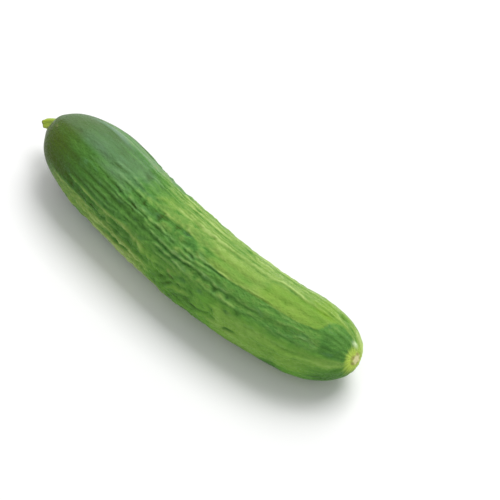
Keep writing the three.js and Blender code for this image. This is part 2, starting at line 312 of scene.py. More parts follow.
# Lower edge of the pale upper side, as percents of the length with angles in degrees
PALE_EDGE = [
    (28, 14), (34, 12), (39, 11), (44, 8), (48, 5.5), (54, 5), (56, 10), (60, 17),
    (64, 19), (70, 19), (76, 17.5), (82, 18.5), (88, 17.5), (90.5, 13), (92, -5),
    (93.5, -13), (95.5, -16), (97.5, -14),
]
PALE_STEP = 0.40
PALE_EDGE_SOFT = 0.9
PALE_EDGE_BLUR = (4, 58, 3)
PALE_TIP_BLUR = (3, 88, 92)
PALE_FAR_EDGE = (-86, -76)
PALE_LENGTH = (40, 95, 6)

# Noises on the skin, in layers of strength, cell length in millimetres, cells round it and seed
CREASE_NOISE = [(0.7, 8, 20, 12), (0.6, 3.4, 30, 15)]
WOBBLE_NOISE = [(0.4, 7, 20, 13), (0.42, 2.8, 40, 14)]
WRINKLE_NOISE = [(0.7, 5.5, 20, 61), (0.6, 3.2, 30, 62), (0.35, 2.0, 48, 63)]
WRINKLE_SHOVE_NOISE = [(2.5, 14, 18, 6)]
WRINKLE_DRIFT_NOISE = [(0.08, 18, 12, 3)]
SWELL_NOISE = [(0.25, 34, 7, 41)]
PATCH_PLACE_NOISE = [(1.2, 9, 24, 22)]
PATCH_ANGLE_NOISE = [(0.03, 14, 16, 21)]
PATCH_STREAK_NOISE = [(0.8, 22, 60, 27)]
PALE_EDGE_NOISE = [(1, 6, 30, 26)]
TONE_NOISE = [(0.12, 26, 16, 23), (0.08, 12, 40, 24), (0.05, 5, 60, 25)]
BLOOM_AND_SHEEN_NOISE = [(0.5, 30, 8, 51)]
NOISE_GAIN = 1.5

# Small wrinkles and gentle swellings
WRINKLE_SLOPE = 2.4
WRINKLE_POWER = 0.8
WRINKLE_DEPTH = 0.9
WRINKLE_HEIGHT = 0.4
SWELL_START = (3, 20)

# Tone of the skin: its rises by percent of the length, and what the relief and the blossom end add; the
# relief's share is painted shading, paler on lumps and wrinkle tops and darker in dents and wrinkle bottoms
STALK_TONE = 0.04
TONE_RISES = [(0.42, 6, 38), (0.2, 40, 75)]
LUMP_SHADING_TONE = 0.5
DENT_SHADE_TONE = 0.3
WRINKLE_SHADING_TONE = 0.2
RAY_TONE = 0.3
# Paler upper edge at the blossom end, partly pale skin and partly a painted highlight
PALE_RIM_AND_SHEEN_TONE = 0.9
PALE_RIM_AND_SHEEN_SIDE = (-50, 28)
PALE_RIM_AND_SHEEN_ALONG = (96, 98.8)

# Where tints of the skin lie, in percents or degrees, and how the relief breaks them up
OLIVE_END = (7, 21)
SHADE_START = (10, 17)
SHADE_GAP = (62, 112, 8)
SHADE_TIP = (86, 93)
SHADE_TIP_EDGE = (-18, -6)
FRESH_BY_CREASE = 2.5
FRESH_BY_WRINKLE = 0.3
FRESH_BY_LUMP = 1.6
FRESH_RANGE = (0, 1.3)
BLOOM_AND_SHEEN_LEVEL = 0.8
BLOOM_AND_SHEEN_BY_CREASE = 2
BLOOM_AND_SHEEN_RANGE = (0.3, 1.2)

# Colours as they look in white light
DEEP_GREEN = "#425e20"
DARK_GREEN = "#4a7832"
MID_GREEN = "#5d8f3e"
PALE_GREEN = "#84a650"
LIGHT_GREEN = "#acc674"
COOL_GREEN = "#3f7a3c"
END_OLIVE = "#4e6016"
RIPE_GREEN = "#82a832"
FRESH_GREEN = "#7cba41"
# A painted reflection of the sky on the green side
SKY_REFLECTION_GREEN = "#6a9a6e"
# A painted highlight on the lips of creases
CREST_SHEEN_GREEN = "#88b072"
# Wax bloom mixed with a painted sheen
WAX_BLOOM_AND_SHEEN = "#7f9a82"
DRY_TAN = "#8f9358"
HALO_YELLOW = "#c0dc5c"
SCAR_CREAM = "#e4dfa6"
SCAR_BROWN = "#93795c"
# A painted glint on the bump beside the scar
PAINTED_GLINT = "#e2f8c0"
STALK_GREEN = "#7f9f2c"
STALK_YELLOW = "#a3ba22"
CUT_STRAW = "#cfc78d"
CUT_BROWN = "#5f5226"

# Skin material: colours by tone, and tints by mask, strength and colour that lie over each other
TONE_STOPS = [(0, DEEP_GREEN), (0.21, DARK_GREEN), (0.43, MID_GREEN), (0.71, PALE_GREEN), (1, LIGHT_GREEN)]
TONE_SCALE = 0.71
STREAK_TONE = 0.10
FLECK_TONE = 0.14
LOWER_TINTS = [("olive", 0.5, END_OLIVE), ("ripe", 0.4, RIPE_GREEN), ("fresh", 0.4, FRESH_GREEN)]
UPPER_TINTS = [
    ("crest_sheen", 0.28, CREST_SHEEN_GREEN),
    ("bloom_and_sheen", 0.5, WAX_BLOOM_AND_SHEEN),
    ("blemish", 0.6, DRY_TAN),
    ("halo", 1, HALO_YELLOW),
    ("ring", 0.8, SCAR_BROWN),
    ("scar", 1, SCAR_CREAM),
    ("glint_bump", 1, PAINTED_GLINT),
]
SKIN_ROUGHNESS = (0.28, 0.38)
FLECK_ROUGHNESS = 0.1
SKIN_SPECULAR = 0.045
GRAIN_DEPTH = 1.0
GRAIN_STRENGTH = 0.9

# Noises of the materials: scale along and across the skin, detail and roughness
STREAKS = ((0.05, 0.6, 0.6), 5, 0.6)
FLECKS = ((0.8, 1.5, 1.5), 3, 0.5)
COOL_CLOUDS = ((0.04, 0.16, 0.16), 3, 0.5)
SKY_REFLECTION_CLOUDS = ((0.13, 0.3, 0.3), 3, 0.5)
GRAIN = ((0.45, 0.8, 0.8), 5, 0.62)
FIBRES = ((0.3, 2.5, 2.5), 4, 0.6)

# Clouded tints of the shaded skin, a cool green and a painted reflection of the sky: noise, where it starts
# and is full, strength and colour
CLOUD_TINTS = [
    (COOL_CLOUDS, 0.45, 0.70, 0.35, COOL_GREEN),
    (SKY_REFLECTION_CLOUDS, 0.56, 0.70, 0.22, SKY_REFLECTION_GREEN),
]

# Stalk stub in millimetres
STUB_TIP = (-5.6, -1.3, -2.8)
STUB_BEND = 2
STUB_FOOT_RADIUS = 2.55
STUB_TIP_RADIUS = 1.9
STUB_SINK = 1.6
FOOT_FLARE = 0.65
FOOT_FLARE_POWER = 4
CUT_LIP = 0.2
CUT_LIP_START = 0.6
CUT_HOLLOW = 0.5
STUB_ANGLE_COUNT = 5
STUB_ANGLE_HEIGHT = 0.24
STUB_TWIST = 0.5
FIBRE_COUNT = 23
FIBRE_HEIGHT = 0.05
FIBRE_START = (0.2, 0.5)
FIBRE_TWIST = 1.5
CUT_SLANT = 0.22
CUT_NOTCH = 0.1
CUT_START = 0.8
CUT_HOLLOW_POWER = 4
CUT_ROUNDING = 0.12
CUT_ROUNDING_WIDTH = 0.08
CUT_FACE = (0.72, 0.98)
DRY_RIM_WIDTH = 0.2
DRY_RIM_START = 0.9
DRY_RIM_LEVEL = 0.55
DRY_RIM_SIDE = 0.4
ANGLE_TONE = 0.7
FIBRE_TONE = 0.3

# Blossom scar, a little aside from the end of the middle line
SCAR_ASIDE = 4.2
SCAR_ASIDE_ANGLE = math.radians(40)
PETAL_COUNT = 5
PETAL_TURN = 0.6

# Relief of the two ends: distance from the middle of the end, and width, in millimetres
SCAR_RIM = (2.0, 0.35)
SCAR_RIM_HEIGHT = 0.3
SCAR_RIM_WAVE = 0.1
SCAR_GROOVE = (2.7, 0.4)
SCAR_GROOVE_DEPTH = 0.22
PLEATS = (6.5, 3.5)
PLEAT_HEIGHT = 0.26
COLLAR = (4.1, 0.7)
COLLAR_DEPTH = 0.3
SHOULDERS = (6.4, 1.5)
SHOULDER_HEIGHT = 0.18
SHOULDER_WAVE = 0.12

# Rays round the scar: their number, sway and weight, and the levels that they start and are full at
RAY_COUNT = 17
RAY_SWAY = 1.6
RAY_WEIGHT = 0.3
FINE_RAY_COUNT = 31
FINE_RAY_SWAY = 2.1
FINE_RAY_WEIGHT = 0.25
RAY_LEVELS = (0.1, 0.95)
RAY_STREAKS = (7, 3.5)

# Colours round the scar, by the distance from its middle in millimetres
HALO_EDGE = (2.6, 8.4)
HALO_RAYS = 0.8
HALO_WEAK_SIDE = (-30, 38)
HALO_SHRINK = 0.8
HALO_WEAKNESS = 0.35
HALO_BY_LUMP = 1.6
HALO_LOSS = 0.8
SCAR_EDGE = (1.0, 1.8)
SCAR_PETALS = 0.5
BROWN_RING = (2.1, 0.55)
RING_GAPS = 0.55

# A small bump beside the scar with a painted glint on it, given like the lumps
GLINT_BUMP = (98.2, -3, 0.9, 0.8, 1.0)
GLINT_BUMP_HEIGHT = 0.5

# Camera: the photograph's view of the fruit
CAMERA_AZIMUTH = math.radians(42.84)
CAMERA_ELEVATION = math.radians(54.71)
CAMERA_DISTANCE = 0.7417
CAMERA_AIM = Vector((0.01552, 0.02116, 0.00405))
CAMERA_LENS = 135

# Floor and light in metres and watts: name, place, size and power of each softbox
FLOOR_HALF = 3
FLOOR_GREY = (0.9, 0.9, 0.9, 1)
FLOOR_ROUGHNESS = 0.7
WORLD_WHITE = (1, 1, 1, 1)
WORLD_STRENGTH = 0.55
SOFTBOXES = [
    ("key_softbox", (0.05, 0.55, 1.05), (0.8, 0.6), 10.5),
    ("back_softbox", (-0.55, 0.85, 0.75), (1.0, 0.6), 2.5),
]

# Rows and columns of the meshes, with columns set closer on the side that shows
FRUIT_COLUMNS = 400
CLOSE_COLUMNS = 0.35
CLOSE_COLUMNS_AT = math.radians(22)
BODY_ROWS = 180
CAP_RADIUS = 11
CAP_ROWS = 30
STUB_COLUMNS = 100
STUB_ROWS = 51
CUT_ROWS = 13
FRUIT_LINE_POINTS = 661
STUB_LINE_POINTS = 121


# Helpers for shapes

def smoothstep(value, low, high):
    share = np.clip((value - low) / (high - low), 0, 1)
    return share * share * (3 - 2 * share)


def band(value, low, high, soft):
    """1 between two values and 0 outside them, with soft edges."""
    return smoothstep(value, low - soft, low + soft) * (1 - smoothstep(value, high - soft, high + soft))


def bump(value, middle, width):
    return np.exp(-((value - middle) / width) ** 2)


def fold(value, width):
    """A crease with a sharp bottom and soft shoulders."""
    return np.exp(-np.abs(value / width) ** FOLD_POWER)


def scatter(index, series):
    """A fixed number from -1 to 1 for an index, the same as in the solid's source."""
    value = 43758.5453 * math.sin(127.1 * index + 311.7 * series + 3.7)
    return 2 * (value - math.floor(value)) - 1


def wrapped(angle):
    return (angle + TURN / 2) % TURN - TURN / 2


def smooth_path(place, path):
    """Angles of a smooth path through points of percent and angle."""
    x, y = np.array(path).T
    slope = np.gradient(y, x)
    k = np.clip(np.searchsorted(x, place) - 1, 0, len(x) - 2)
    width = x[k + 1] - x[k]
    t = np.clip((place - x[k]) / width, 0, 1)
    level = y[k] + (y[k + 1] - y[k]) * t * t * (3 - 2 * t)
    return level + width * t * (1 - t) * (slope[k] * (1 - t) - slope[k + 1] * t)


def skin_noise(along, angle, cell_length, cells_round, seed):
    """Smooth seeded noise from -1 to 1 on the skin, with long cells that close round the fruit."""
    rows = int(FRUIT_LENGTH / cell_length) + 4
    lean = np.random.default_rng(seed).uniform(0, TURN, (rows, cells_round))
    x, y = np.broadcast_arrays(along / cell_length + 1, (angle / TURN % 1) * cells_round)
    row, column = np.floor(x).astype(int), np.floor(y).astype(int)
    right, up = x - row, y - column

    def corner(i, j):
        turn = lean[np.clip(row + i, 0, rows - 1), (column + j) % cells_round]
        return np.cos(turn) * (right - i) + np.sin(turn) * (up - j)

    across, upward = smoothstep(right, 0, 1), smoothstep(up, 0, 1)
    lower = corner(0, 0) * (1 - across) + corner(1, 0) * across
    upper = corner(0, 1) * (1 - across) + corner(1, 1) * across
    return NOISE_GAIN * (lower * (1 - upward) + upper * upward)


# Fruit: its outline and middle line

def body_radius(along):
    return FRUIT_DIAMETER / 2 * (1 - TAPER * (along / FRUIT_LENGTH - 0.5))


def dome_radius(share, power):
    return np.sqrt(1 - (1 - np.clip(share, 0, 1)) ** power)


def dome_depth(dome, radius, full_radius):
    length, power = dome
    return length * (1 - (1 - (radius / full_radius) ** 2) ** (1 / power))


def fruit_radius(along):
    stalk_end = dome_radius(along / STALK_DOME[0], STALK_DOME[1])
    blossom_end = dome_radius((FRUIT_LENGTH - along) / BLOSSOM_DOME[0], BLOSSOM_DOME[1])
    return body_radius(along) * stalk_end * blossom_end


def fruit_outline():
    """Radius and length of each ring of the skin, with rings of even radius on the two caps."""
    cap = np.linspace(0, CAP_RADIUS, CAP_ROWS + 1)
    stalk_cap = dome_depth(STALK_DOME, cap, body_radius(0))
    blossom_cap = FRUIT_LENGTH - dome_depth(BLOSSOM_DOME, cap[::-1], body_radius(FRUIT_LENGTH))
    body = np.linspace(stalk_cap[-1], blossom_cap[0], BODY_ROWS + 1)[1:-1]
    radius = np.concatenate([cap, fruit_radius(body), cap[::-1]])
    return radius, np.concatenate([stalk_cap, body, blossom_cap])


class MiddleLine:
    """A curve that each ring of a body is set square on."""

    def __init__(self, along, points):
        self.along = along
        self.points = points
        ahead = np.gradient(points, along, axis=0)
        self.ahead = ahead / np.linalg.norm(ahead, axis=1, keepdims=True)

    def pick(self, along, values):
        return np.stack([np.interp(along, self.along, values[:, k]) for k in range(3)], -1)

    def place(self, along, radius, angle):
        """Points at a length along the line and a radius and angle round it."""
        held = np.clip(along, self.along[0], self.along[-1])
        ahead = self.pick(held, self.ahead)
        side = np.cross(ahead, (0, 0, 1))
        side /= np.linalg.norm(side, axis=-1, keepdims=True)
        up = np.cross(side, ahead)
        point = self.pick(held, self.points) + ahead * (along - held)[..., None]
        away = side * np.sin(angle)[..., None] + up * np.cos(angle)[..., None]
        return point + radius[..., None] * away


def fruit_line():
    """The fruit's middle line, bent in the level plane, with both of its ends along X."""
    along = np.linspace(0, FRUIT_LENGTH, FRUIT_LINE_POINTS)
    heading = BEND_ANGLE * np.maximum(0, (along - BEND_START) / (FRUIT_LENGTH - BEND_START)) ** 2

    def march(direction):
        step = np.diff(along)[:, None]
        ahead = np.stack([np.cos(direction), np.sin(direction)], 1)
        return np.concatenate([np.zeros((1, 2)), np.cumsum((ahead[1:] + ahead[:-1]) / 2 * step, 0)])

    end = march(heading)[-1]
    level = march(heading - math.atan2(end[1], end[0]))
    return MiddleLine(along, np.column_stack([level, body_radius(along)]))


# Fruit: relief and tone of its skin

class Skin:
    """The fruit's skin unrolled: one row for each ring and one column for each step round it."""

    def __init__(self):
        ring, along = (values[:, None] for values in fruit_outline())
        even = (np.arange(FRUIT_COLUMNS) / FRUIT_COLUMNS * TURN - TURN / 2)[None, :]
        self.ring_angle = even - CLOSE_COLUMNS * np.sin(even - CLOSE_COLUMNS_AT)
        in_blossom_half = along > FRUIT_LENGTH / 2
        self.from_stalk = np.where(in_blossom_half, FRUIT_DIAMETER, ring)
        self.from_scar = np.where(in_blossom_half, ring, FRUIT_DIAMETER)
        shift = SCAR_ASIDE * (1 - smoothstep(self.from_scar, SCAR_GROOVE[0], CAP_RADIUS))
        side = ring * np.sin(self.ring_angle) + shift * math.sin(SCAR_ASIDE_ANGLE)
        up = ring * np.cos(self.ring_angle) + shift * math.cos(SCAR_ASIDE_ANGLE)
        self.radius = np.hypot(side, up)
        self.angle = np.arctan2(side, up)
        cap_radius = np.minimum(self.radius, CAP_RADIUS)
        shifted_depth = dome_depth(BLOSSOM_DOME, cap_radius, body_radius(FRUIT_LENGTH))
        self.along = np.where(shift > 0, FRUIT_LENGTH - shifted_depth, along)
        self.percent = 100 * self.along / FRUIT_LENGTH
        self.shape = self.along.shape

    def noise(self, layers):
        return sum(strength * skin_noise(self.along, self.angle, *cells) for strength, *cells in layers)

    def beside(self, degrees):
        """Distance round the skin from an angle in degrees, in millimetres."""
        return wrapped(self.angle - np.radians(degrees)) * self.radius

    def facing(self, degrees, width):
        """1 at an angle in degrees, falling to 0 on both sides of it."""
        return bump(wrapped(self.angle - math.radians(degrees)), 0, math.radians(width))

    def spot(self, percent, degrees, half_length, half_width):
        """Squared distance from a place on the skin, as 1 at the edge of an oval spot."""
        lengthwise = (self.along - percent / 100 * FRUIT_LENGTH) / half_length
        return lengthwise ** 2 + (self.beside(degrees) / half_width) ** 2

    def patched(self, patches, ragged=0):
        """Sum of the strengths of the patches that each place lies in, with edges moved by a noise."""
        total = np.zeros(self.shape)
        place = self.percent + ragged * self.noise(PATCH_PLACE_NOISE)
        angle = self.angle + ragged * self.noise(PATCH_ANGLE_NOISE)
        streaks = ragged * self.noise(PATCH_STREAK_NOISE)
        for strength, middle, half, soft, start, end, fade in patches:
            aside = np.abs(np.degrees(wrapped(angle - math.radians(middle))))
            round_share = 1 - smoothstep(aside, half - soft, half + soft)
            total += strength * round_share * band(place + fade * streaks, start, end, fade)
        return total


def lobes_and_furrows(skin):
    """The relief that the solid has: three soft lobes, cut by long furrows."""
    share = skin.along / FRUIT_LENGTH
    height = LOBE_HEIGHT * np.cos(LOBE_COUNT * (skin.angle - LOBE_CREST))
    for index in range(FURROW_COUNT):
        sway = FURROW_SWAY * np.sin(TURN * (FURROW_SWAY_WAVES * share + scatter(index, 1)))
        middle = FIRST_FURROW + TURN * index / FURROW_COUNT + FURROW_STRAY * scatter(index, 0) + sway
        swell = 1 + FURROW_SWELL * np.sin(TURN * (FURROW_SWELL_WAVES * share + scatter(index, 2)))
        depth = FURROW_DEPTH * (1 + FURROW_UNEVEN * scatter(index, 3)) * swell
        height = height - depth * bump(wrapped(skin.angle - middle), 0, FURROW_WIDTH)
    return height * smoothstep(skin.along, *RELIEF_RISE) * (1 - smoothstep(skin.along, *RELIEF_FADE))


def hidden_creases():
    """Creases like those that show, for the side and underside that the photograph doesn't show."""
    draw = np.random.default_rng(HIDDEN_CREASE_SEED)
    creases = []
    for angle in np.arange(*HIDDEN_SIDE, HIDDEN_CREASE_STEP):
        start = draw.uniform(*HIDDEN_CREASE_START)
        count = draw.integers(*HIDDEN_CREASE_POINTS)
        places = start + np.arange(count) * draw.uniform(*HIDDEN_CREASE_STRIDE)
        angles = angle + np.cumsum(draw.uniform(-HIDDEN_CREASE_SWAY, HIDDEN_CREASE_SWAY, count))
        depth = draw.choice(HIDDEN_CREASE_DEPTHS)
        width = draw.uniform(*HIDDEN_CREASE_WIDTH)
        creases.append((width, depth, max(0, HIDDEN_LIP * depth), list(zip(places, angles))))
    return creases


def creased(skin):
    """Height, tone and crest sheen of the creases: painted shade in the groove, and a paler lip above it,
    partly pale skin and partly a painted highlight; ridges are paler along their tops, and the crest sheen is
    a painted highlight on the lip.
    """
    height, tone, crest_sheen = np.zeros((3, *skin.shape))
    uneven = np.clip(CREASE_LEVEL + skin.noise(CREASE_NOISE), *CREASE_RANGE)
    steadier = RIDGE_STEADY + (1 - RIDGE_STEADY) * uneven
    calm = CALM_SHARE * smoothstep(skin.percent, *CALM_ALONG) * band(np.degrees(skin.angle), *CALM_ROUND)
    loose = STIFF_WOBBLE + (1 - STIFF_WOBBLE) * smoothstep(skin.percent, *LOOSE_ALONG)
    wobble = loose * skin.noise(WOBBLE_NOISE)
    for width, depth, lip, path in CREASES + hidden_creases():
        start = path[0][0]
        end = path[-1][0]
        fade = min(CREASE_FADE, CREASE_FADE_SHARE * (end - start))
        strength = (1 - calm) * band(skin.percent, start, end, fade)
        beside = skin.beside(smooth_path(skin.percent, path)) + wobble
        if depth > 0:
            strength = strength * uneven
            groove = strength * fold(beside, width)
            groove_shading = GROOVE_SHADE * depth
        else:
            strength = strength * steadier
            groove = strength * bump(beside, 0, width)
            groove_shading = depth
        raised = strength * bump(beside, -LIP_PLACE * width, LIP_WIDTH * width)
        pale = strength * bump(beside, -LIP_PALE_PLACE * width, width)
        height += CREASE_RELIEF * (lip * raised - depth * groove)
        tone += LIP_PALENESS_AND_SHEEN * lip * pale - groove_shading * groove
        crest_sheen += lip * pale
    return height, tone, np.minimum(1, CREST_SHEEN_GAIN * crest_sheen)


def hidden_lumps():
    """Lumps and dents for the side and underside that the photograph doesn't show."""
    draw = np.random.default_rng(HIDDEN_LUMP_SEED)
    lumps = []
    for _ in range(HIDDEN_LUMP_COUNT):
        height = draw.choice(HIDDEN_LUMP_HEIGHTS)
        size = draw.uniform(*HIDDEN_LUMP_SIZE)
        percent = draw.uniform(*HIDDEN_LUMP_PLACE)
        degrees = draw.uniform(*HIDDEN_SIDE)
        lumps.append((percent, degrees, 2 * size, size, height))
    return lumps


def lumpy(skin, lumps):
    height = np.zeros(skin.shape)
    for *spot, rise in lumps:
        height += rise * np.exp(-skin.spot(*spot))
    return height


def crumpled(skin):
    """Small wrinkles that fill the skin between the creases, from about -1 in their bottoms to 1."""
    along = skin.along + skin.noise(WRINKLE_SHOVE_NOISE)
    angle = skin.angle + skin.noise(WRINKLE_DRIFT_NOISE)
    height = np.zeros(skin.shape)
    for strength, *cells in WRINKLE_NOISE:
        noise = skin_noise(along, angle, *cells)
        height += strength * (WRINKLE_SLOPE * np.abs(noise) ** WRINKLE_POWER - WRINKLE_DEPTH)
    return height


def pale_side(skin):
    """1 on the pale upper side of the fruit and 0 on its green side, with a crisp edge between."""
    degrees = np.degrees(skin.angle)
    below = degrees - smooth_path(skin.percent, PALE_EDGE) - skin.noise(PALE_EDGE_NOISE)
    blur, blur_place, blur_width = PALE_EDGE_BLUR
    tip_blur, tip_start, tip_full = PALE_TIP_BLUR
    soft = PALE_EDGE_SOFT + blur * bump(skin.percent, blur_place, blur_width)
    soft = soft + tip_blur * smoothstep(skin.percent, tip_start, tip_full)
    upper = (1 - smoothstep(below / soft, -1, 1)) * smoothstep(degrees, *PALE_FAR_EDGE)
    return upper * band(skin.percent, *PALE_LENGTH)


def skin_tone(skin, pale):
    """How pale the skin is, from 0 deep green to 1 pale yellow-green, before its relief; some of its patches
    add a painted highlight along the upper edge and painted shade under the lower edge.
    """
    tone = STALK_TONE + PALE_STEP * pale + skin.patched(TONE_SHADE_AND_SHEEN_PATCHES, 1) + skin.noise(TONE_NOISE)
    for rise, start, end in TONE_RISES:
        tone = tone + rise * smoothstep(skin.percent, start, end)
    return tone


def tip_rays(angle):
    """Pale rays that run out from the blossom scar between darker ones."""
    wide = np.cos(RAY_COUNT * angle + RAY_SWAY * np.sin(3 * angle) + 0.4)
    fine = np.cos(FINE_RAY_COUNT * angle + FINE_RAY_SWAY * np.sin(2 * angle + 1))
    return smoothstep(0.5 + RAY_WEIGHT * wide + FINE_RAY_WEIGHT * fine, *RAY_LEVELS)


def petal_waves(skin):
    """Waves round both ends, from -1 to 1, one for each petal of the flower."""
    return np.cos(PETAL_COUNT * skin.ring_angle + PETAL_TURN)


def end_relief(skin, rays):
    """Relief of the two ends: the blossom scar with its pleats, and the shoulders round the stalk."""
    rim_height = SCAR_RIM_HEIGHT + SCAR_RIM_WAVE * petal_waves(skin)
    shoulder_height = SHOULDER_HEIGHT + SHOULDER_WAVE * petal_waves(skin)
    height = PLEAT_HEIGHT * (rays - 0.5) * bump(skin.from_scar, *PLEATS)
    height = height - SCAR_GROOVE_DEPTH * bump(skin.from_scar, *SCAR_GROOVE)
    height = height + rim_height * bump(skin.from_scar, *SCAR_RIM)
    height = height - COLLAR_DEPTH * bump(skin.from_stalk, *COLLAR)
    return height + shoulder_height * bump(skin.from_stalk, *SHOULDERS)


def blemished(skin):
    """Small dry specks."""
    mask = np.zeros(skin.shape)
    for spot in BLEMISHES:
        mask += np.exp(-skin.spot(*spot) ** 2)
    return mask


def outwards(place):
    """Directions square to a mesh of rings, away from its inside."""
    around = np.roll(place, -1, 1) - np.roll(place, 1, 1)
    square = np.cross(around, np.gradient(place, axis=0))
    square[0] = square[1].mean(0)
    square[-1] = square[-2].mean(0)
    return square / np.linalg.norm(square, axis=-1, keepdims=True)


def halo_mask(skin, rays, lumps):
    """The yellow halo round the blossom scar: rayed, weaker on its upper side where the paler edge with its
    painted highlight shows, and broken by lumps.
    """
    upper = skin.facing(*HALO_WEAK_SIDE)
    reach = skin.from_scar + HALO_SHRINK * upper - HALO_RAYS * (rays - 0.5)
    halo = (1 - smoothstep(reach, *HALO_EDGE)) * (1 - HALO_WEAKNESS * upper)
    return halo * (1 - np.clip(HALO_BY_LUMP * lumps, 0, HALO_LOSS))


def shaded_side(skin, pale):
    """1 on the cooler green skin, and 0 on the pale side, the fresh low side and the stalk end."""
    degrees = np.degrees(skin.angle)
    shade = (1 - pale) * smoothstep(skin.percent, *SHADE_START) * (1 - band(degrees, *SHADE_GAP))
    upper_tip = smoothstep(skin.percent, *SHADE_TIP) * (1 - smoothstep(degrees, *SHADE_TIP_EDGE))
    return shade * (1 - upper_tip)


def fruit_masks(skin, rays, crease_tone, crest_sheen, lumps, crumple, glint_bump):
    """The masks that the skin's material mixes its colours by."""
    pale = pale_side(skin)
    shade = shaded_side(skin, pale)
    petals = 0.5 + 0.5 * petal_waves(skin)
    # Painted shading of the relief: paler on crease lips, lumps and wrinkle tops, darker in grooves, dents
    # and wrinkle bottoms
    tone = skin_tone(skin, pale) + crease_tone + WRINKLE_SHADING_TONE * crumple
    tone = tone + LUMP_SHADING_TONE * lumps + DENT_SHADE_TONE * np.minimum(lumps, 0)
    tone = tone + RAY_TONE * (rays - 0.5) * bump(skin.from_scar, *RAY_STREAKS)
    # Paler upper edge at the blossom end, partly a painted highlight
    rim = skin.facing(*PALE_RIM_AND_SHEEN_SIDE) * smoothstep(skin.percent, *PALE_RIM_AND_SHEEN_ALONG)
    tone = tone + PALE_RIM_AND_SHEEN_TONE * rim
    fresh = 1 + FRESH_BY_CREASE * crease_tone + FRESH_BY_WRINKLE * crumple + FRESH_BY_LUMP * lumps
    # Wax bloom and painted sheen, stronger on the lips of creases
    bloom_and_sheen = (BLOOM_AND_SHEEN_LEVEL + skin.noise(BLOOM_AND_SHEEN_NOISE)) * np.clip(1 + BLOOM_AND_SHEEN_BY_CREASE * crease_tone, *BLOOM_AND_SHEEN_RANGE)
    return {
        "tone": tone,
        "shade": shade,
        "olive": 1 - smoothstep(skin.percent, *OLIVE_END),
        "ripe": pale * skin.patched(RIPE_PATCHES, 1),
        "fresh": skin.patched(FRESH_PATCHES, 1) * np.clip(fresh, *FRESH_RANGE),
        "crest_sheen": crest_sheen * shade,
        "bloom_and_sheen": skin.patched(WAXY_AND_SHEEN_PATCHES, 1) * bloom_and_sheen,
        "blemish": blemished(skin),
        "halo": halo_mask(skin, rays, lumps),
        "ring": (1 - RING_GAPS * petals) * bump(skin.from_scar, *BROWN_RING),
        "scar": 1 - smoothstep(skin.from_scar - SCAR_PETALS * petals, *SCAR_EDGE),
        # The bump beside the scar, painted with a glint
        "glint_bump": glint_bump,
    }


def make_fruit(line):
    """The fruit's rings of points, their places on straight skin, and the masks for its material."""
    skin = Skin()
    rays = tip_rays(skin.ring_angle)
    crease_height, crease_tone, crest_sheen = creased(skin)
    lumps = lumpy(skin, LUMPS + hidden_lumps())
    crumple = skin.patched(WRINKLED_PATCHES) * crumpled(skin)
    glint_bump = lumpy(skin, [GLINT_BUMP])
    height = lobes_and_furrows(skin) + crease_height + lumps + WRINKLE_HEIGHT * crumple
    height = height + skin.noise(SWELL_NOISE) * smoothstep(skin.percent, *SWELL_START)
    height = height + lumpy(skin, BULGES) + GLINT_BUMP_HEIGHT * glint_bump + end_relief(skin, rays)

    place = line.place(skin.along, skin.radius, skin.angle)
    place = place + height[..., None] * outwards(place)
    place[..., 2] = np.maximum(place[..., 2], FLAT_DEPTH)
    straight = [skin.along, skin.radius * np.sin(skin.angle), skin.radius * np.cos(skin.angle)]
    masks = fruit_masks(skin, rays, crease_tone, crest_sheen, lumps, crumple, glint_bump)
    return place, np.stack(straight, -1), masks


# Meshes

def add_object(name, data):
    item = bpy.data.objects.new(name, data)
    bpy.context.scene.collection.objects.link(item)
    return item


def ring_mesh(name, place, masks, straight):
    """A closed mesh of rings whose first and last ring each shrink to one point."""
    rows, columns = place.shape[:2]

    def stacked(values):
        first = values[0].mean(0, keepdims=True)
        last = values[-1].mean(0, keepdims=True)
        return np.concatenate([first, values[1:-1].reshape(-1, *values.shape[2:]), last])

    def ring(row, column):
        return 1 + (row - 1) * columns + column % columns

    vertices = stacked(place) * MM
    last = len(vertices) - 1
    faces = [(0, ring(1, c + 1), ring(1, c)) for c in range(columns)]
    faces += [
        (ring(r, c), ring(r, c + 1), ring(r + 1, c + 1), ring(r + 1, c))
        for r in range(1, rows - 2)
        for c in range(columns)
    ]
    faces += [(ring(rows - 2, c), ring(rows - 2, c + 1), last) for c in range(columns)]
    mesh = bpy.data.meshes.new(name)
    mesh.from_pydata(vertices.tolist(), [], faces)
    mesh.polygons.foreach_set("use_smooth", [True] * len(mesh.polygons))
    for key, values in masks.items():
        attribute = mesh.attributes.new(key, "FLOAT", "POINT")
        attribute.data.foreach_set("value", stacked(values).astype(np.float32))
    attribute = mesh.attributes.new("straight", "FLOAT_VECTOR", "POINT")
    attribute.data.foreach_set("vector", stacked(straight).astype(np.float32).ravel())
    mesh.update()
    return add_object(name, mesh)


# Stalk stub

def stub_line(fruit):
    away = -fruit.ahead[0]
    stalk_end = fruit.points[0]
    foot = stalk_end - away * STUB_SINK
    bend = stalk_end + away * STUB_BEND
    tip = stalk_end + np.array(STUB_TIP)
    share = np.linspace(0, 1, STUB_LINE_POINTS)[:, None]
    points = foot * (1 - share) ** 2 + 2 * bend * share * (1 - share) + tip * share ** 2
    along = np.concatenate([[0], np.cumsum(np.linalg.norm(np.diff(points, axis=0), axis=1))])
    return MiddleLine(along, points)


